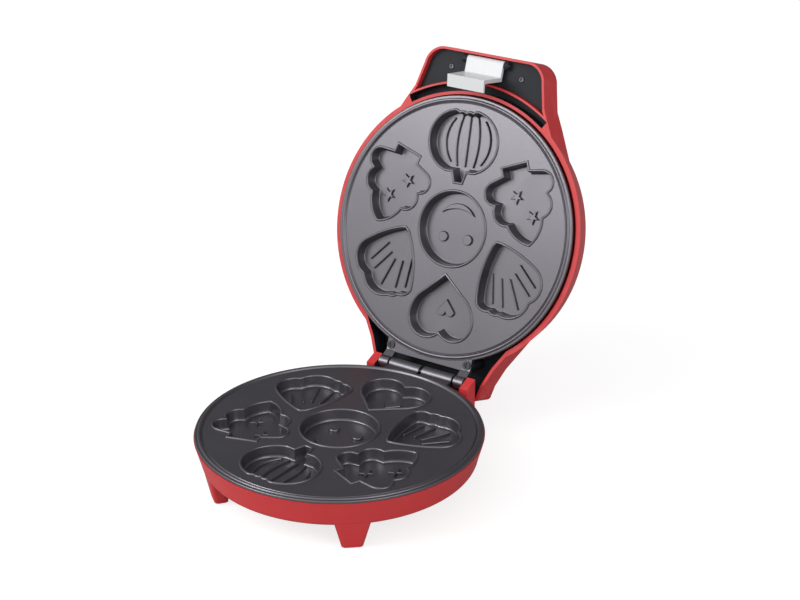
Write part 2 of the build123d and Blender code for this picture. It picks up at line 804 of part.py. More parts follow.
# Lid shell: dome, handle and hinge neck
cover_back = cover_face + cover_thickness
lid_head_seat = boss_joint + 4
latch_axis = (latch_pivot_y, latch_pivot_height)
latch_half = latch_width / 2
latch_window = 2 * (latch_barrel_radius + running_gap)
lug_start = latch_half + running_gap
lug_end = lug_start + lug_width
cavity_rim = upper_plate_radius + plate_clearance
lamp_spots = ((-lamp_spacing / 2, lamp_y), (lamp_spacing / 2, lamp_y))
upper_block_centre = (0, element_tail_end + block_width / 2)
with BuildPart() as lid_shell:
    with BuildSketch(section_plane(lid_face)):
        with BuildLine():
            shoulder = ThreePointArc(
                (lid_shoulder_radius, lid_shoulder_height),
                (lid_shoulder_radius - 3, lid_shoulder_height + 4),
                (lid_crown_radius, lid_crown_height),
            )
            Polyline(
                shoulder @ 1,
                (0, lid_height),
                (0, lid_rim_height),
                (lid_rim_radius, lid_rim_height),
                shoulder @ 0,
            )
        make_face()
    revolve(axis=spin_axis(lid_face))
    for outline, height in ((handle_outline, handle_height), (neck_outline, neck_height)):
        with BuildSketch(lid_face.offset(lid_rim_height)):
            add(outline.sketch)
        extrude(amount=height - lid_rim_height)
    with BuildSketch(section_plane(lid_face)):
        with BuildLine():
            Polyline(
                (0, lid_rim_height),
                (cavity_rim, lid_rim_height),
                (lid_shoulder_radius - wall, lid_shoulder_height),
                (lid_crown_radius - wall, lid_crown_height - wall),
                (0, lid_height - wall),
                close=True,
            )
        make_face()
    revolve(axis=spin_axis(lid_face), mode=Mode.SUBTRACT)
    with BuildSketch(lid_face.offset(lid_rim_height)):
        add(offset(neck_outline.sketch, amount=-wall, mode=Mode.PRIVATE))
    extrude(amount=neck_height - wall - lid_rim_height, mode=Mode.SUBTRACT)
    with BuildSketch(lid_face.offset(lid_rim_height)):
        add(cover_outline.sketch)
    extrude(amount=cover_back - lid_rim_height, mode=Mode.SUBTRACT)
    with BuildSketch(lid_face.offset(cover_back)):
        add(offset(cover_outline.sketch, amount=-cover_ledge, mode=Mode.PRIVATE))
    extrude(amount=handle_height - wall - cover_back, mode=Mode.SUBTRACT)
    with BuildSketch(lid_face.offset(lid_rim_height)):
        add(slot_outline.sketch)
    extrude(amount=slot_floor - lid_rim_height, mode=Mode.SUBTRACT)
    slab(
        lid_face,
        (0, latch_pivot_y),
        2 * (lug_end + running_gap),
        latch_window,
        cover_back,
        latch_axis[1] + latch_barrel_radius + running_gap,
        Mode.SUBTRACT,
    )
    for side in sides:
        flange_screw = (side * tab_screw_x, tab_screw_y)
        cover_screw = (side * cover_screw_x, cover_screw_y)
        post(lid_face, flange_screw, boss_radius, plate_back, neck_height - wall / 2)
        post(lid_face, flange_screw, screw_radius, plate_back, plate_back + long_hole, Mode.SUBTRACT)
        post(lid_face, cover_screw, boss_radius, cover_back, handle_height - wall / 2)
        post(lid_face, cover_screw, small_screw_radius, cover_back, cover_back + long_hole, Mode.SUBTRACT)
    for boss in lid_boss_spots:
        post(lid_moulds, boss, boss_radius + wall - 0.4, boss_joint, lid_crown_height - wall / 2)
        post(lid_moulds, boss, screw_radius + pin_fit, boss_joint, lid_head_seat, Mode.SUBTRACT)
        post(lid_moulds, boss, screw_head_radius + head_play, lid_head_seat, lid_height, Mode.SUBTRACT)
    for rest_angle in rest_angles:
        rest = turned(lid_face, rest_angle)
        rest_start = reflector_drop + reflector_thickness
        post(rest, (rest_ring, 0), boss_radius, rest_start, lid_crown_height - wall / 2)
    slab(lid_face, upper_block_centre, block_length, block_width, reflector_drop, lid_crown_height - wall / 2)
    for lamp in lamp_spots:
        post(lid_face, lamp, lens_radius, lid_crown_height - wall - 1, lid_height, Mode.SUBTRACT)
finish(lid_shell, "lid_shell")

# Screws of the lid
with BuildPart() as flange_screws:
    for side in sides:
        pan_screw(lid_face, (side * tab_screw_x, tab_screw_y), head_seat, plate_back + long_hole - tip_slack)
finish(flange_screws, "flange_screws")

with BuildPart() as upper_plate_screws:
    for boss in lid_boss_spots:
        pan_screw(lid_moulds, boss, lid_head_seat, boss_joint - screw_hole + tip_slack)
finish(upper_plate_screws, "upper_plate_screws")

# Handle cover with its lugs for the latch pin
cover_seat = cover_face + cover_sink
with BuildPart() as handle_cover:
    with BuildSketch(lid_face.offset(cover_face)):
        add(offset(cover_outline.sketch, amount=-seat_gap, mode=Mode.PRIVATE))
    extrude(amount=cover_thickness)
    slab(lid_face, (0, latch_pivot_y), 2 * lug_start, latch_window, cover_face, cover_back, Mode.SUBTRACT)
    for side in sides:
        cross_bar(lid_face, side * lug_start, side * lug_end, latch_axis, latch_barrel_radius)
        cover_screw = (side * cover_screw_x, cover_screw_y)
        post(lid_face, cover_screw, small_screw_radius + pin_fit, cover_face, cover_back, Mode.SUBTRACT)
        post(lid_face, cover_screw, small_head_radius + head_play, cover_face, cover_seat, Mode.SUBTRACT)
    cross_bar(lid_face, -lug_end, lug_end, latch_axis, latch_pin_radius + pin_fit, Mode.SUBTRACT)
finish(handle_cover, "handle_cover")

with BuildPart() as handle_cover_screws:
    for side in sides:
        cover_screw = (side * cover_screw_x, cover_screw_y)
        tip = cover_back + long_hole - tip_slack
        pan_screw(lid_face, cover_screw, cover_seat, tip, small_screw_radius, small_head_radius)
finish(handle_cover_screws, "handle_cover_screws")

with BuildPart() as latch_pin:
    cross_bar(lid_face, -lug_end, lug_end, latch_axis, latch_pin_radius)
finish(latch_pin, "latch_pin")

# Latch: a flat back on the cover, a shelf that drops past the base, and a hooked lip
latch_front = latch_axis[1] - latch_barrel_radius
latch_back = latch_front + latch_plate_thickness
latch_foot_y = latch_shelf_y + 2.3
with BuildPart() as latch:
    latch_section = (
        (latch_pivot_y, latch_front),
        (latch_shelf_y - latch_plate_thickness, latch_front),
        (latch_foot_y - 1.5, -latch_drop - 1),
        (latch_foot_y + latch_lip, -latch_drop + 1.5),
        (latch_foot_y + latch_lip, -latch_drop + 3.5),
        (latch_foot_y + 0.9, -latch_drop + 1.9),
        (latch_shelf_y, latch_back),
        (latch_pivot_y, latch_back),
    )
    side_slab(lid_face, -latch_half, latch_half, latch_section)
    cross_bar(lid_face, -latch_half, latch_half, latch_axis, latch_barrel_radius)
    cross_bar(lid_face, -latch_half, latch_half, latch_axis, latch_pin_radius + pin_fit, Mode.SUBTRACT)
finish(latch, "latch")

# Heating and lamps in the lid
with BuildPart() as upper_heating_element:
    place_element(lid_face, element_level)
finish(upper_heating_element, "upper_heating_element")

with BuildPart() as upper_element_saddles:
    form_saddles(lid_face, upper_heating_element.part, element_level, reflector_drop)
finish(upper_element_saddles, "upper_element_saddles")

with BuildPart() as upper_heat_reflector:
    form_reflector(lid_face, reflector_drop, 1)
finish(upper_heat_reflector, "upper_heat_reflector")

upper_block_face = element_level - element_radius - 1
with BuildPart() as upper_terminal_block:
    slab(lid_face, upper_block_centre, block_length, block_width, upper_block_face, reflector_drop)
finish(upper_terminal_block, "upper_terminal_block")

lens_inside = lid_crown_height - wall - 1
lens_seat = lid_height - 0.5
lens_flange_depth = 1.2
with BuildPart() as lamp_lenses:
    for lamp in lamp_spots:
        post(lid_face, lamp, lens_radius, lens_inside, lens_seat)
        post(lid_face, lamp, lens_flange, lens_seat, lens_seat + lens_flange_depth)
finish(lamp_lenses, "lamp_lenses")

bulb_start = lens_inside - bulb_length
with BuildPart() as lamp_bulbs:
    for lamp in lamp_spots:
        post(lid_face, lamp, bulb_radius, bulb_start, lens_inside)
finish(lamp_bulbs, "lamp_bulbs")

# Two wires from the lamps along the lid to its terminal block
wire_run = 23.0
wire_end = 17.6
wire_drop_y = 83.5
wire_bend = 1.5
with BuildPart() as lid_wiring:
    for lamp in lamp_spots:
        with BuildLine(side_plane(lid_face, lamp[0])) as lead:
            FilletPolyline(
                (lamp[1] + bulb_radius, wire_run),
                (wire_drop_y, wire_run),
                (wire_drop_y, wire_end),
                (element_tail_end, wire_end),
                radius=wire_bend,
            )
        with BuildSketch(Plane(origin=lead.line @ 0, z_dir=lead.line % 0)) as core:
            Circle(wire_radius)
        sweep(core.sketch, path=lead.line)
finish(lid_wiring, "lid_wiring")
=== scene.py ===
import json
import math

import bmesh
import bpy
from mathutils import Matrix, Vector


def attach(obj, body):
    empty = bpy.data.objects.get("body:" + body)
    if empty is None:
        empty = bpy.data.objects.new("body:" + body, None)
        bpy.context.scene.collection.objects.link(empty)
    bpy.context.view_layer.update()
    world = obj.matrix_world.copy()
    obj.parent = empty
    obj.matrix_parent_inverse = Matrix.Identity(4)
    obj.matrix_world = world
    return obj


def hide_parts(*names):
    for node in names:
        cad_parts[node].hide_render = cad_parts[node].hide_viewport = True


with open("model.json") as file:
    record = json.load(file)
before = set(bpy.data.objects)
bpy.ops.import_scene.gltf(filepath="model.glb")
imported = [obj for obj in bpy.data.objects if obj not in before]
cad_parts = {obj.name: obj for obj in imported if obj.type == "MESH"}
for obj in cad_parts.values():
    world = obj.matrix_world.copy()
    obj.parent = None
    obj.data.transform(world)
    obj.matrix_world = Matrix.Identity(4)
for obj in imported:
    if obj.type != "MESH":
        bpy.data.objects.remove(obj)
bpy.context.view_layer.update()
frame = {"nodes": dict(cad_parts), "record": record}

MM = 0.001
WELD = 0.002 * MM
FLAT_TURN = math.radians(1.0)
EDGE_TURN = math.radians(28)
SHADE_TURN = math.radians(40)
ROUNDING = {
    "offset_type": "OFFSET", "affect": "EDGES", "segments": 3, "profile": 0.5, "material": -1,
    "clamp_overlap": True,
}


# Shader maths: one class wraps a socket, and the operators add Math nodes
class Value:
    def __init__(self, finish, socket):
        self.finish = finish
        self.socket = socket

    def _maths(self, operation, first, second):
        return self.finish.node("ShaderNodeMath", {"operation": operation}, {0: first, 1: second})

    def __add__(self, other):
        return self._maths("ADD", self, other)

    def __radd__(self, other):
        return self._maths("ADD", other, self)

    def __sub__(self, other):
        return self._maths("SUBTRACT", self, other)

    def __rsub__(self, other):
        return self._maths("SUBTRACT", other, self)

    def __mul__(self, other):
        return self._maths("MULTIPLY", self, other)

    def __rmul__(self, other):
        return self._maths("MULTIPLY", other, self)


class Nodes:
    """A node tree, emptied and filled again through one method."""

    def __init__(self, tree):
        self.tree = tree
        self.tree.nodes.clear()

    def node(self, kind, settings=None, inputs=None, output=0):
        made = self.tree.nodes.new(kind)
        for name, value in (settings or {}).items():
            if name == "stops":
                while len(made.color_ramp.elements) < len(value):
                    made.color_ramp.elements.new(0.5)
                for stop, (position, level) in zip(made.color_ramp.elements, value):
                    stop.position = position
                    stop.color = (*level, 1) if isinstance(level, tuple) else (level, level, level, 1)
            else:
                setattr(made, name, value)
        for name, value in (inputs or {}).items():
            socket = made.inputs[name]
            if isinstance(value, Value):
                self.tree.links.new(value.socket, socket)
            elif isinstance(value, tuple) and len(value) == 3 and socket.type == "RGBA":
                socket.default_value = (*value, 1)
            else:
                socket.default_value = value
        return Value(self, made.outputs[output]) if made.outputs else None

    def ramp(self, value, stops):
        return self.node("ShaderNodeValToRGB", {"stops": stops}, {"Fac": value})


class Finish(Nodes):
    """One procedural material with a Principled shader, in the object's own coordinates."""

    def __init__(self, name):
        self.material = bpy.data.materials.new(name)
        self.material.use_nodes = True
        super().__init__(self.material.node_tree)
        self.place = self.node("ShaderNodeTexCoord", output="Object")

    def noise(self, scale, detail=2.0, roughness=0.5, stretch=None):
        place = self.place
        if stretch:
            place = self.node("ShaderNodeMapping", {}, {"Vector": self.place, "Scale": stretch})
        return self.node("ShaderNodeTexNoise", {}, {
            "Vector": place, "Scale": scale, "Detail": detail, "Roughness": roughness,
        })

    def blend(self, factor, first, second):
        return self.node(
            "ShaderNodeMix", {"data_type": "RGBA"}, {"Factor": factor, 6: first, 7: second}, output=2,
        )

    def bump(self, height, strength, distance):
        return self.node("ShaderNodeBump", {}, {"Height": height, "Strength": strength, "Distance": distance})

    def shade(self, **settings):
        words = {key.replace("_", " "): value for key, value in settings.items()}
        surface = self.node("ShaderNodeBsdfPrincipled", {}, words)
        self.node("ShaderNodeOutputMaterial", {}, {"Surface": surface})
        return self.material


def worn(finish):
    """Light rubbing on the corners of a piece, broken up by noise."""
    geometry = finish.node("ShaderNodeNewGeometry", output="Pointiness")
    corners = finish.ramp(geometry, ((0.52, 0.0), (0.6, 1.0)))
    patches = finish.ramp(finish.noise(90, 4), ((0.45, 0.0), (0.7, 1.0)))
    return corners * patches


def moulded_plastic(name, dark, light, rub, rough, grain_depth, **constant):
    """Satin moulded plastic: a fine even grain, faint clouding and rubbed corners."""
    finish = Finish(name)
    cloud = finish.noise(16, 3)
    grain = finish.noise(1500, 2)
    colour = finish.blend(cloud, dark, light)
    colour = finish.blend(worn(finish) * 0.3, colour, rub)
    return finish.shade(
        Base_Color=colour,
        Roughness=rough + cloud * 0.1 + grain * 0.06,
        Normal=finish.bump(grain, 0.25, grain_depth),
        **constant,
    )


def coated_metal(name, dark, light, rough):
    """Non-stick coating on cast metal: a sprayed orange-peel skin with a dull metallic sheen."""
    finish = Finish(name)
    cloud = finish.noise(24, 4)
    peel = finish.noise(650, 3, 0.6)
    speck = finish.ramp(finish.noise(2600, 1), ((0.62, 0.0), (0.72, 1.0)))
    colour = finish.blend(cloud, dark, light)
    colour = finish.blend(speck * 0.16, colour, (0.32, 0.32, 0.33))
    return finish.shade(
        Base_Color=colour,
        Metallic=0.85,
        Roughness=rough + cloud * 0.08 + peel * 0.08,
        Normal=finish.bump(peel, 0.3, 0.00008),
    )


def bright_metal(name, colour, rough, stretch=(1, 1, 14), metallic=1.0):
    """Plated or bare metal with fine drawn lines and slight tarnish."""
    finish = Finish(name)
    lines = finish.noise(900, 3, 0.6, stretch)
    stain = finish.ramp(finish.noise(60, 4), ((0.45, 0.0), (0.75, 1.0)))
    dull = tuple(0.72 * part for part in colour)
    return finish.shade(
        Base_Color=finish.blend(stain * 0.5, colour, dull),
        Metallic=metallic,
        Roughness=rough + lines * 0.12 + stain * 0.1,
        Normal=finish.bump(lines, 0.2, 0.00003),
    )


def smooth_skin(name, colour, rough, ripple, **constant):
    """Glazed, rubber or silicone surfaces: a soft ripple and a slight change of tone."""
    finish = Finish(name)
    cloud = finish.noise(40, 3)
    skin = finish.noise(ripple, 2)
    deep = tuple(0.85 * part for part in colour)
    return finish.shade(
        Base_Color=finish.blend(cloud, deep, colour),
        Roughness=rough + cloud * 0.08,
        Normal=finish.bump(skin, 0.2, 0.00006),
        **constant,
    )


def woven_sleeve(name):
    """The glass-fibre braid on the fuse."""
    finish = Finish(name)
    braid = finish.node(
        "ShaderNodeTexWave", {"wave_type": "BANDS", "bands_direction": "DIAGONAL"},
        {"Vector": finish.place, "Scale": 900.0, "Distortion": 2.0}, output=1,
    )
    return finish.shade(
        Base_Color=finish.blend(braid, (0.55, 0.53, 0.47), (0.8, 0.78, 0.72)),
        Roughness=0.75 + braid * 0.1,
        Normal=finish.bump(braid, 0.5, 0.0002),
    )


FINISHES = {
    "red_plastic": moulded_plastic(
        "red_plastic", (0.60, 0.028, 0.032), (0.67, 0.038, 0.042), (0.75, 0.12, 0.12), 0.34, 0.00005,
    ),
    "coated_plate": coated_metal("coated_plate", (0.152, 0.145, 0.162), (0.18, 0.172, 0.191), 0.24),
    "black_plastic": moulded_plastic(
        "black_plastic", (0.015, 0.017, 0.021), (0.022, 0.024, 0.029), (0.06, 0.06, 0.07), 0.42, 0.00008,
        Specular_IOR_Level=0.2,
    ),
    "white_plastic": moulded_plastic(
        "white_plastic", (0.7, 0.71, 0.72), (0.75, 0.76, 0.77), (0.8, 0.8, 0.8), 0.26, 0.00003,
    ),
    "steel": bright_metal("steel", (0.56, 0.56, 0.57), 0.24),
    "dark_steel": bright_metal("dark_steel", (0.09, 0.09, 0.1), 0.3),
    "sheath": bright_metal("sheath", (0.36, 0.35, 0.33), 0.42, (1, 1, 1), 0.8),
    "reflector": bright_metal("reflector", (0.8, 0.8, 0.81), 0.2, (14, 1, 1)),
    "ceramic": smooth_skin("ceramic", (0.86, 0.83, 0.76), 0.2, 500),
    "fuse_sleeve": woven_sleeve("fuse_sleeve"),
    "wire_sleeve": smooth_skin("wire_sleeve", (0.8, 0.78, 0.72), 0.45, 900),
    "rubber": smooth_skin("rubber", (0.035, 0.035, 0.036), 0.75, 1800),
    "lens": smooth_skin("lens", (0.72, 0.05, 0.03), 0.12, 700, Transmission_Weight=0.5, IOR=1.49),
    "bulb": smooth_skin("bulb", (0.95, 0.75, 0.6), 0.05, 300, Transmission_Weight=0.9, IOR=1.45),
}
NODE_SLOTS = {part["node"]: part["material_slot"] for part in frame["record"]["subparts"]}


def dress(obj, slot_name):
    obj.data.materials.clear()
    obj.data.materials.append(FINISHES[slot_name])


def settle(shape, name, body, slot_name):
    """Turn a finished bmesh into a smooth-shaded piece that rides on its body."""
    mesh = bpy.data.meshes.new(name)
    shape.to_mesh(mesh)
    shape.free()
    mesh.shade_smooth()
    mesh.set_sharp_from_angle(angle=SHADE_TURN)
    piece = bpy.data.objects.new(name, mesh)
    bpy.context.scene.collection.objects.link(piece)
    even = piece.modifiers.new("even_faces", "WEIGHTED_NORMAL")
    even.keep_sharp = True
    dress(piece, slot_name)
    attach(piece, body)
    return piece


def soften(node, body, width, painted_shade=None):
    """A copy of a CAD piece with its flat faces joined and its edges rounded, and perhaps painted shade:
    faces that a test picks out get the black finish where shade falls.
    """
    shape = bmesh.new()
    shape.from_mesh(frame["nodes"][node].data)
    bmesh.ops.remove_doubles(shape, verts=shape.verts, dist=WELD)
    bmesh.ops.dissolve_limit(shape, angle_limit=FLAT_TURN, verts=shape.verts, edges=shape.edges)
    sharp = [edge for edge in shape.edges if len(edge.link_faces) == 2 and edge.calc_face_angle() > EDGE_TURN]
    bmesh.ops.bevel(shape, geom=sharp, offset=width * MM, **ROUNDING)
    # Painted shade: mark each face that the test picks out to take the black finish
    painted_shade_marks = [int(painted_shade(face)) for face in shape.faces] if painted_shade else []
    piece = settle(shape, f"{node}_finished", body, NODE_SLOTS[node])
    if painted_shade:
        piece.data.materials.append(FINISHES["black_plastic"])
        piece.data.polygons.foreach_set("material_index", painted_shade_marks)
    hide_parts(node)
    return piece


def inside_lid(face):
    """Painted shade: red shell faces in the hollow behind the handle's slot and inside the hinge neck, where
    shade falls, get the black finish.
    """
    place = LID_FROM_WORLD @ face.calc_center_median()
    facing = (LID_FROM_WORLD.to_3x3() @ face.normal).normalized()
    if place.z < PAINTED_SHADE_DEPTH:
        return False
    if place.y < 0:
        around = abs(math.atan2(place.x, -place.y))
        in_ring = SLOT_RADII[0] < math.hypot(place.x, place.y) < SLOT_RADII[1]
        on_wall = in_ring and around < SLOT_REACH and facing.z < 0.5
        on_floor = facing.z < -0.9 and place.y < SLOT_START and place.z > SLOT_FLOOR - 1
        return place.z < SLOT_FLOOR and (on_floor or on_wall)
    if math.hypot(abs(place.x) - FLANGE_SCREW[0], place.y - FLANGE_SCREW[1]) < POST_REACH:
        return True
    outward = Vector((place.x, place.y - NECK_MIDDLE, 0)).normalized()
    return place.y > NECK_MIDDLE and (facing.z < -0.5 or facing.dot(outward) < -0.3)


def inside_cheek(face):
    """Painted shade: the inner sides of the two red hinge cheeks, shaded under the lid, get the black finish.
    """
    place = face.calc_center_median() / MM
    return place.y > CHEEK_START and place.z > CHEEK_FLOOR and face.normal.x * place.x < -0.5 * abs(place.x)


MATING = 43.3
HINGE_Y, HINGE_DROP, LID_RISE = 109.65, 2.7, 3.4
SWING = math.radians(109.3)
LID_ORIGIN = (
    0,
    HINGE_Y - HINGE_Y * math.cos(SWING) + LID_RISE * math.sin(SWING),
    MATING - HINGE_DROP + HINGE_Y * math.sin(SWING) + LID_RISE * math.cos(SWING),
)
BASE_FACE = Matrix.Scale(MM, 4) @ Matrix.Translation((0, 0, MATING))
LID_FACE = Matrix.Scale(MM, 4) @ Matrix.Translation(LID_ORIGIN) @ Matrix.Rotation(-SWING, 4, "X")
LID_FROM_WORLD = LID_FACE.inverted()
# Limits, in millimetres in the lid's frame, of the painted shade inside the lid and on the hinge cheeks
PAINTED_SHADE_DEPTH = 2.0
SLOT_REACH = math.radians(35)
SLOT_RADII = (102.0, 109.0)
SLOT_FLOOR, SLOT_START = 14.5, -80.0
FLANGE_SCREW, POST_REACH = (33.5, 96.5), 6.0
NECK_MIDDLE = 70.0
CHEEK_START, CHEEK_FLOOR = 98.0, 24.0
# Which test paints shade on which shell
PAINTED_SHADE_TESTS = {"lid_shell": inside_lid, "base_shell": inside_cheek}
SOFTENED = (
    ("base_shell", "base", 0.6),
    ("cord_gland", "base", 0.3),
    ("foot_pads", "base", 0.3),
    ("hinge_pin", "base", 0.3),
    ("lower_plate_screws", "base", 0.2),
    ("lid_shell", "lid", 0.6),
    ("handle_cover", "lid", 0.35),
    ("handle_cover_screws", "lid", 0.2),
    ("flange_screws", "lid", 0.2),
    ("upper_plate_screws", "lid", 0.2),
    ("latch_pin", "lid", 0.2),
    ("lamp_lenses", "lid", 0.4),
    ("latch", "latch", 0.5),
)
for node_name, body_name, edge_width in SOFTENED:
    soften(node_name, body_name, edge_width, painted_shade=PAINTED_SHADE_TESTS.get(node_name))
for node_name, node_object in frame["nodes"].items():
    dress(node_object, NODE_SLOTS[node_name])


# Cooking plates, built in millimetres in their own frames: face up, mating plane at zero
MOULD_TURN = Matrix.Rotation(math.radians(-3.5), 4, "Z")
FLIP = Matrix.Diagonal((1, 1, -1, 1))
FACE, BACK, SKIRT = -1.0, -4.0, -3.0
LIP = ((0.12, 0.45), (0.28, 0.35), (0.45, 0.2), (0.35, 0), (0.35, -0.2), (0.28, -0.35), (0.17, -0.45))
WALL = ((0.5, -5.6), (0.45, -1.5), (0.45, -0.65), (0.35, -0.25))
CUP = ((1.2, 0), (0.5, 6.4), (0.7, 0.8))
PICTURE = ((0.1, 1.3), (0.22, 0.5), (0.3, 0.3))
FLOOR = -9.3
LOWER_RADIUS, UPPER_RADIUS = 102.4, 99.2
BARREL, PIN_BORE = 4.8, 2.05
BOSS, BOSS_LENGTH = 3.6, 10.0
BOSS_SPOTS = ((-44, 74), (44, 74), (-46, -74), (46, -74))
LOWER_SPAN, UPPER_SPAN = (1.2, 27.5), (28.8, 37.0)
LOWER_ARM = ((97.4, -5), (HINGE_Y, -5), (HINGE_Y, -1), (97.4, -1.5))
UPPER_ARM = ((100.4, -1), (107.65, 5.4), (111.65, 1.4), (102.6, -4), (96.6, -4), (96.6, -1.5))
RIB, STAR, STAR_TILT = 1.5, 5.9, -5
SOFT, SEAM, NEAR = 0.4, 0.001, 0.01
RIM_STEPS, KNUCKLE_STEPS, BOSS_STEPS = 144, 48, 32


def arc(start, middle, end, steps):
    """Points along the circle through three points, leaving out the last one."""
    (ax, ay), (bx, by), (cx, cy) = start, middle, end
    span = 2 * (ax * (by - cy) + bx * (cy - ay) + cx * (ay - by))
    a_square, b_square, c_square = ax * ax + ay * ay, bx * bx + by * by, cx * cx + cy * cy
    x = (a_square * (by - cy) + b_square * (cy - ay) + c_square * (ay - by)) / span
    y = (a_square * (cx - bx) + b_square * (ax - cx) + c_square * (bx - ax)) / span
    first, halfway, last = (math.atan2(point[1] - y, point[0] - x) for point in (start, middle, end))
    sweep = (last - first) % math.tau
    if (halfway - first) % math.tau > sweep:
        sweep -= math.tau
    radius = math.hypot(ax - x, ay - y)
    angles = (first + sweep * step / steps for step in range(steps))
    return [(x + radius * math.cos(angle), y + radius * math.sin(angle)) for angle in angles]


def both_sides(points):
    """A closed outline from its right half, whose ends lie on the Y axis."""
    return points + [(-x, y) for x, y in reversed(points[1:-1])]


def mirrored(points):
    return [(-x, y) for x, y in points]


def moved(points, centre, degrees):
    turn = math.radians(degrees)
    cos, sin = math.cos(turn), math.sin(turn)
    return [(centre[0] + x * cos - y * sin, centre[1] + x * sin + y * cos) for x, y in points]


def circle(centre, radius, steps):
    angles = [math.tau * step / steps for step in range(steps)]
    return [(centre[0] + radius * math.cos(angle), centre[1] + radius * math.sin(angle)) for angle in angles]


def strip(path, width):
    """A round-ended strip along a path."""
    left, right_side = [], []
    for index, (x, y) in enumerate(path):
        before, after = path[max(index - 1, 0)], path[min(index + 1, len(path) - 1)]
        run = math.hypot(after[0] - before[0], after[1] - before[1])
        across_x = -(after[1] - before[1]) / run * width / 2
        across_y = (after[0] - before[0]) / run * width / 2
        left.append((x + across_x, y + across_y))
        right_side.append((x - across_x, y - across_y))
    ends = []
    for index, neighbour, side in ((-1, -2, left), (0, 1, right_side)):
        tip, inner = path[index], path[neighbour]
        run = math.hypot(tip[0] - inner[0], tip[1] - inner[1])
        out = ((tip[0] - inner[0]) / run * width / 2, (tip[1] - inner[1]) / run * width / 2)
        near = side[index]
        far = (2 * tip[0] - near[0], 2 * tip[1] - near[1])
        ends.append(arc(near, (tip[0] + out[0], tip[1] + out[1]), far, 6)[1:])
    return left + ends[0] + right_side[::-1] + ends[1]


def star(centre, radius, turn):
    reaches = [radius if index % 2 == 0 else radius * 0.42 for index in range(10)]
    angles = [math.radians(turn + 90 + 36 * index) for index in range(10)]
    return [
        (centre[0] + reach * math.cos(angle), centre[1] + reach * math.sin(angle))
        for reach, angle in zip(reaches, angles)
    ]


heart = both_sides(
    arc((0, 80), (13, 84.5), (28.3, 68), 12) + arc((28.3, 68), (25.8, 58), (16, 47), 6) + [(16, 47), (0, 33)]
)
pumpkin = both_sides(
    [(0, -33.3), (4.2, -33.3), (6.7, -41.7)]
    + arc((12, -41.7), (30.2, -65), (12.6, -88.3), 20)
    + arc((12.6, -88.3), (9, -89.0), (5.6, -87.6), 4)
    + arc((5.6, -87.6), (2.8, -88.3), (0, -87.2), 4)
    + [(0, -87.2)]
)
scallop = (
    arc((35.6, 6.6), (28.5, 28), (27.5, 51), 8)
    + arc((27.5, 51), (32.6, 56), (39.4, 56.7), 6)
    + arc((39.4, 56.7), (43.6, 58.6), (47.6, 58.2), 5)
    + arc((47.6, 58.2), (59.6, 58.6), (72.4, 45), 10)
    + arc((72.4, 45), (81, 31), (75, 18.6), 8)
    + arc((75, 18.6), (58, 8.9), (43.5, 3.8), 6)
    + arc((43.5, 3.8), (38.6, 3.4), (35.6, 6.6), 2)
)
tree = both_sides(
    [(0, 32.5)]
    + arc((0, 32.5), (9.6, 25.6), (15.3, 14.9), 8)[1:]
    + arc((15.3, 14.9), (24.6, 6.6), (23.2, -2.4), 8)
    + arc((23.2, -2.4), (29.2, -13.3), (22.2, -20.5), 8)
    + [(22.2, -20.5), (11.8, -22.8), (11.8, -29.5), (0, -29.5)]
)
right_tree = moved(tree, (54.75, -26.8), -20.1)
MOULDS = (
    heart, pumpkin, scallop, mirrored(scallop), right_tree, mirrored(right_tree), circle((0, 0), 29.5, 56),
)

right_pictures = [
    circle((10.5, 7), 4.1, 24),
    star((62.0, -17.5), STAR, STAR_TILT),
    star((46.8, -30.3), STAR, STAR_TILT),
    strip(arc((7, -47), (9.2, -65), (6.5, -83.5), 8) + [(6.5, -83.5)], RIB),
    strip(arc((13, -49.5), (18.8, -65), (13, -81.5), 8) + [(13, -81.5)], RIB),
]
for ridge in (
    ((35.1, 28.8), (38, 50)),
    ((43, 31.2), (46.6, 51.5)),
    ((50.1, 30.6), (59.4, 51)),
    ((53.8, 25.8), (67, 39.8)),
    ((57.2, 18.9), (70.9, 33)),
):
    right_pictures.append(strip(list(ridge), RIB))
centre_pictures = [
    strip([(0, -47), (0, -84)], RIB),
    arc((-14.3, -10.4), (0, -19.2), (14.3, -10.4), 10)
    + arc((14.3, -10.4), (0, -14.7), (-14.3, -10.4), 10),
    moved(both_sides(arc((0, 3.6), (4.2, 6.4), (7.5, 2), 8) + [(7.5, 2), (0, -7)]), (0, 60), 0),
]
PICTURES = centre_pictures + right_pictures + [mirrored(points) for points in right_pictures]


def stepped_face(shape, points, height, steps, up=1):
    """A face from an outline, stepped inwards and out or in along its normal; returns the outline."""
    rim = [shape.verts.new((x, y, height)) for x, y in points]
    face = shape.faces.new(rim)
    face.normal_update()
    if face.normal.z * up < 0:
        face.normal_flip()
    for inward, rise in steps:
        bmesh.ops.inset_region(
            shape, faces=[face], thickness=inward, depth=rise, use_boundary=True, use_even_offset=True,
        )
        face.normal_update()
    return rim


def loop_edges(shape, rim):
    return [shape.edges.get(pair) for pair in zip(rim, rim[1:] + rim[:1])]


def ring_edges(shape, radius, height):
    """The edges of a spun circle."""
    return [
        edge for edge in shape.edges
        if all(
            abs(vert.co.z - height) < NEAR and abs(math.hypot(vert.co.x, vert.co.y) - radius) < NEAR
            for vert in edge.verts
        )
    ]


def spun(shape, section, centre, axis, steps):
    bmesh.ops.spin(
        shape, geom=section, cent=centre, axis=axis, dvec=(0, 0, 0),
        angle=math.tau, steps=steps, use_merge=True, use_duplicate=False,
    )


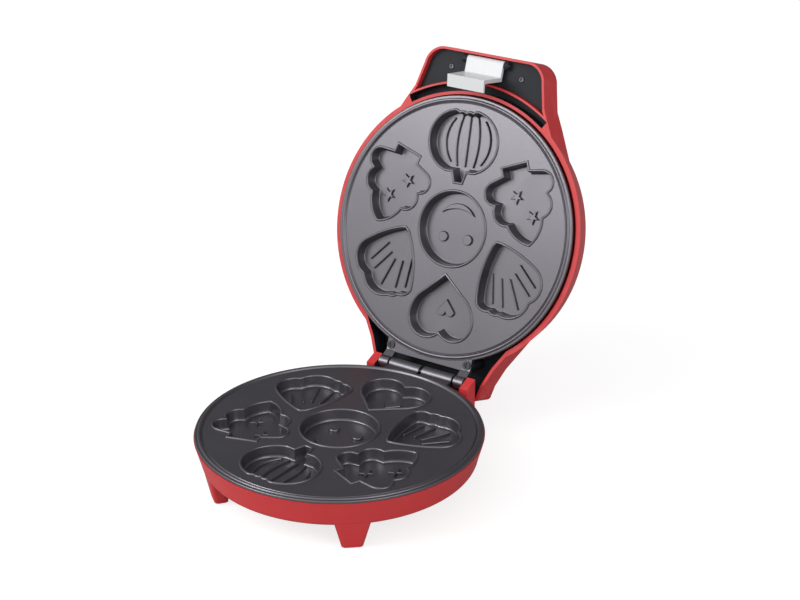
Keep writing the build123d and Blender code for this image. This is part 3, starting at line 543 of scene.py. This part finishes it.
def plate_disc(radius):
    """A cast plate: a rim with bead and groove, seven lipped moulds with pictures, and cups behind."""
    shape = bmesh.new()
    groove, crest, flange, skirt = radius - 6.0, radius - 4.6, radius - 2.0, radius - 2.4
    section = [
        (groove, FACE), (groove + 0.35, FACE - 0.45), (crest - 0.7, FACE - 0.6), (crest - 0.35, FACE - 0.45),
    ]
    section += arc((crest, FACE), (radius - 3.3, 0), (flange, FACE), 8) + [(flange, FACE)]
    section += arc((radius - 0.9, FACE), (radius - 0.26, FACE - 0.26), (radius, FACE - 0.9), 4)
    section += [
        (radius, FACE - 0.9), (radius, SKIRT + 0.2), (radius - 0.2, SKIRT), (skirt, SKIRT), (skirt, BACK),
    ]
    verts = [shape.verts.new((r, 0, z)) for r, z in section]
    edges = [shape.edges.new(pair) for pair in zip(verts, verts[1:])]
    spun(shape, verts + edges, (0, 0, 0), (0, 0, 1), RIM_STEPS)
    bmesh.ops.remove_doubles(shape, verts=shape.verts, dist=SEAM)
    front = ring_edges(shape, groove, FACE)
    rear = ring_edges(shape, skirt, BACK)
    for points in MOULDS:
        front += loop_edges(shape, stepped_face(shape, points, FACE, LIP + WALL))
        rear += loop_edges(shape, stepped_face(shape, points, BACK, CUP, up=-1))
    bmesh.ops.triangle_fill(shape, use_beauty=True, use_dissolve=False, edges=front, normal=(0, 0, 1))
    bmesh.ops.triangle_fill(shape, use_beauty=True, use_dissolve=False, edges=rear, normal=(0, 0, -1))
    for points in PICTURES:
        shape.faces.new(stepped_face(shape, points, FLOOR, PICTURE))
    return shape


def drawn_out(shape, corners, vector):
    """A solid from a flat outline drawn out along a vector, with rounded edges."""
    face = shape.faces.new([shape.verts.new(corner) for corner in corners])
    first = list(face.verts)
    made = bmesh.ops.extrude_face_region(shape, geom=[face])["geom"]
    second = [item for item in made if isinstance(item, bmesh.types.BMVert)]
    bmesh.ops.translate(shape, verts=second, vec=vector)
    edges = {edge for vert in first + second for edge in vert.link_edges}
    bmesh.ops.bevel(shape, geom=list(edges), offset=SOFT, **ROUNDING)


def hinge_arm(shape, span, corners):
    near_x, far_x = span
    drawn_out(shape, [(near_x, y, z) for y, z in corners], (far_x - near_x, 0, 0))


def knuckle(shape, span, height):
    """A bored barrel on the hinge line, with rounded ends."""
    near_x, far_x = sorted(span)
    slight = 0.3 * SOFT
    section = [
        (near_x, PIN_BORE), (near_x, BARREL - SOFT),
        (near_x + slight, BARREL - slight), (near_x + SOFT, BARREL),
        (far_x - SOFT, BARREL), (far_x - slight, BARREL - slight),
        (far_x, BARREL - SOFT), (far_x, PIN_BORE),
    ]
    verts = [shape.verts.new((x, HINGE_Y, height + r)) for x, r in section]
    edges = [shape.edges.new(pair) for pair in zip(verts, verts[1:] + verts[:1])]
    spun(shape, verts + edges, (0, HINGE_Y, height), (1, 0, 0), KNUCKLE_STEPS)


def cooking_plate(node, body, radius, face_frame, fittings, bosses):
    """One finished plate with its hinge fittings and screw bosses."""
    shape = plate_disc(radius)
    for x, y in bosses:
        bmesh.ops.create_cone(
            shape, cap_ends=True, segments=BOSS_STEPS, radius1=BOSS, radius2=BOSS, depth=BOSS_LENGTH,
            matrix=Matrix.Translation((x, y, BACK - BOSS_LENGTH / 2)),
        )
    shape.transform(face_frame @ MOULD_TURN)
    fittings.transform(face_frame)
    joined = bpy.data.meshes.new("joined")
    fittings.to_mesh(joined)
    fittings.free()
    shape.from_mesh(joined)
    bpy.data.meshes.remove(joined)
    bmesh.ops.remove_doubles(shape, verts=shape.verts, dist=SEAM / 2 * MM)
    bmesh.ops.recalc_face_normals(shape, faces=shape.faces)
    piece = settle(shape, f"{node}_finished", body, NODE_SLOTS[node])
    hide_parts(node)


lower_fittings = bmesh.new()
for side in (-1, 1):
    lower_span = [side * x for x in LOWER_SPAN]
    hinge_arm(lower_fittings, lower_span, LOWER_ARM)
    knuckle(lower_fittings, lower_span, -HINGE_DROP)
cooking_plate("lower_plate", "base", LOWER_RADIUS, BASE_FACE, lower_fittings, BOSS_SPOTS)

upper_fittings = bmesh.new()
tab_side = [(37, 89.7)] + arc((37, 95.6), (35.24, 99.84), (31, 101.6), 5) + [(31, 101.6)]
tab = tab_side + mirrored(tab_side)[::-1] + arc((-37, 89.7), (0, 97.0), (37, 89.7), 16)[1:]
drawn_out(upper_fittings, [(x, y, FACE) for x, y in tab], (0, 0, BACK - FACE))
for side in (-1, 1):
    upper_span = [side * x for x in UPPER_SPAN]
    hinge_arm(upper_fittings, upper_span, UPPER_ARM)
    knuckle(upper_fittings, upper_span, LID_RISE)
cooking_plate("upper_plate", "lid", UPPER_RADIUS, LID_FACE @ FLIP, upper_fittings, BOSS_SPOTS[2:])


# Floor, light and camera
WHITE = (1.0, 1.0, 1.0)
FLOOR_REACH = 6.0
ROOM_LEVEL = 0.98
FRONT_TO_BACK = ((0.15, WHITE), (0.8, (0.16, 0.16, 0.17)))


def pale_floor():
    """A pale floor that keeps the shadow and is lifted to white for the camera."""
    finish = Finish("pale_floor")
    seen = finish.node("ShaderNodeLightPath", output="Is Camera Ray")
    return finish.shade(
        Base_Color=finish.blend(seen, (0.5, 0.5, 0.5), (0.42, 0.42, 0.42)),
        Emission_Color=finish.blend(seen, (0.0, 0.0, 0.0), (0.76, 0.76, 0.76)),
        Emission_Strength=1.0,
        Roughness=0.9,
    )


floor_shape = bmesh.new()
bmesh.ops.create_grid(floor_shape, x_segments=1, y_segments=1, size=FLOOR_REACH)
floor_mesh = bpy.data.meshes.new("floor")
floor_shape.to_mesh(floor_mesh)
floor_shape.free()
floor_mesh.materials.append(pale_floor())
floor = bpy.data.objects.new("floor", floor_mesh)
bpy.context.scene.collection.objects.link(floor)

scene = bpy.context.scene
scene.view_settings.view_transform = "Standard"
world = bpy.data.worlds.new("studio")
world.use_nodes = True
scene.world = world
studio = Nodes(world.node_tree)
direction = studio.node("ShaderNodeTexCoord", output="Generated")
along_y = studio.node("ShaderNodeSeparateXYZ", {}, {0: direction}, output="Y")
room_tone = studio.ramp(along_y * 0.5 + 0.5, FRONT_TO_BACK)
room = studio.node("ShaderNodeBackground", {}, {"Color": room_tone, "Strength": ROOM_LEVEL})
backdrop = studio.node("ShaderNodeBackground", {}, {"Color": WHITE, "Strength": 1.0})
seen = studio.node("ShaderNodeLightPath", output="Is Camera Ray")
sky = studio.node("ShaderNodeMixShader", {}, {0: seen, 1: room, 2: backdrop})
studio.node("ShaderNodeOutputWorld", {}, {"Surface": sky})

CENTRE = Vector((0, 0.07, 0.1))


def soft_light(name, place, size, power):
    lamp = bpy.data.lights.new(name, "AREA")
    lamp.shape = "RECTANGLE"
    lamp.size, lamp.size_y = size
    lamp.energy = power
    holder = bpy.data.objects.new(name, lamp)
    holder.location = place
    holder.rotation_euler = (CENTRE - holder.location).to_track_quat("-Z", "Y").to_euler()
    scene.collection.objects.link(holder)


soft_light("key", Vector((-0.9, -1.1, 1.3)), (0.9, 0.9), 7)
soft_light("fill", Vector((1.4, -0.5, 0.9)), (1.0, 0.8), 5)
soft_light("brow", Vector((-0.50, -0.75, 0.62)), (0.6, 0.3), 2.2)

AZIMUTH = math.radians(32.9973)
ELEVATION = math.radians(24.4241)
ROLL = math.radians(-0.1109)
PLATE_UNIT = 0.102
DISTANCE, SHIFT_RIGHT, SHIFT_UP = 13.609, 0.4194, 0.8793
FOCAL_PIXELS, PICTURE_WIDTH = 1964.4, 800
SENSOR = 36.0
back = Vector((
    math.sin(AZIMUTH) * math.cos(ELEVATION),
    -math.cos(AZIMUTH) * math.cos(ELEVATION),
    math.sin(ELEVATION),
))
level = Vector((math.cos(AZIMUTH), math.sin(AZIMUTH), 0))
rise = back.cross(level)
right = level * math.cos(ROLL) + rise * math.sin(ROLL)
up = rise * math.cos(ROLL) - level * math.sin(ROLL)
camera = bpy.data.objects.new("camera", bpy.data.cameras.new("camera"))
camera.data.sensor_width = SENSOR
camera.data.lens = FOCAL_PIXELS * SENSOR / PICTURE_WIDTH
away = back * DISTANCE + right * SHIFT_RIGHT + up * SHIFT_UP
camera.location = away * PLATE_UNIT + Vector((0, 0, MATING * MM))
camera.rotation_euler = Matrix((right, up, back)).transposed().to_euler()
scene.collection.objects.link(camera)
scene.camera = camera
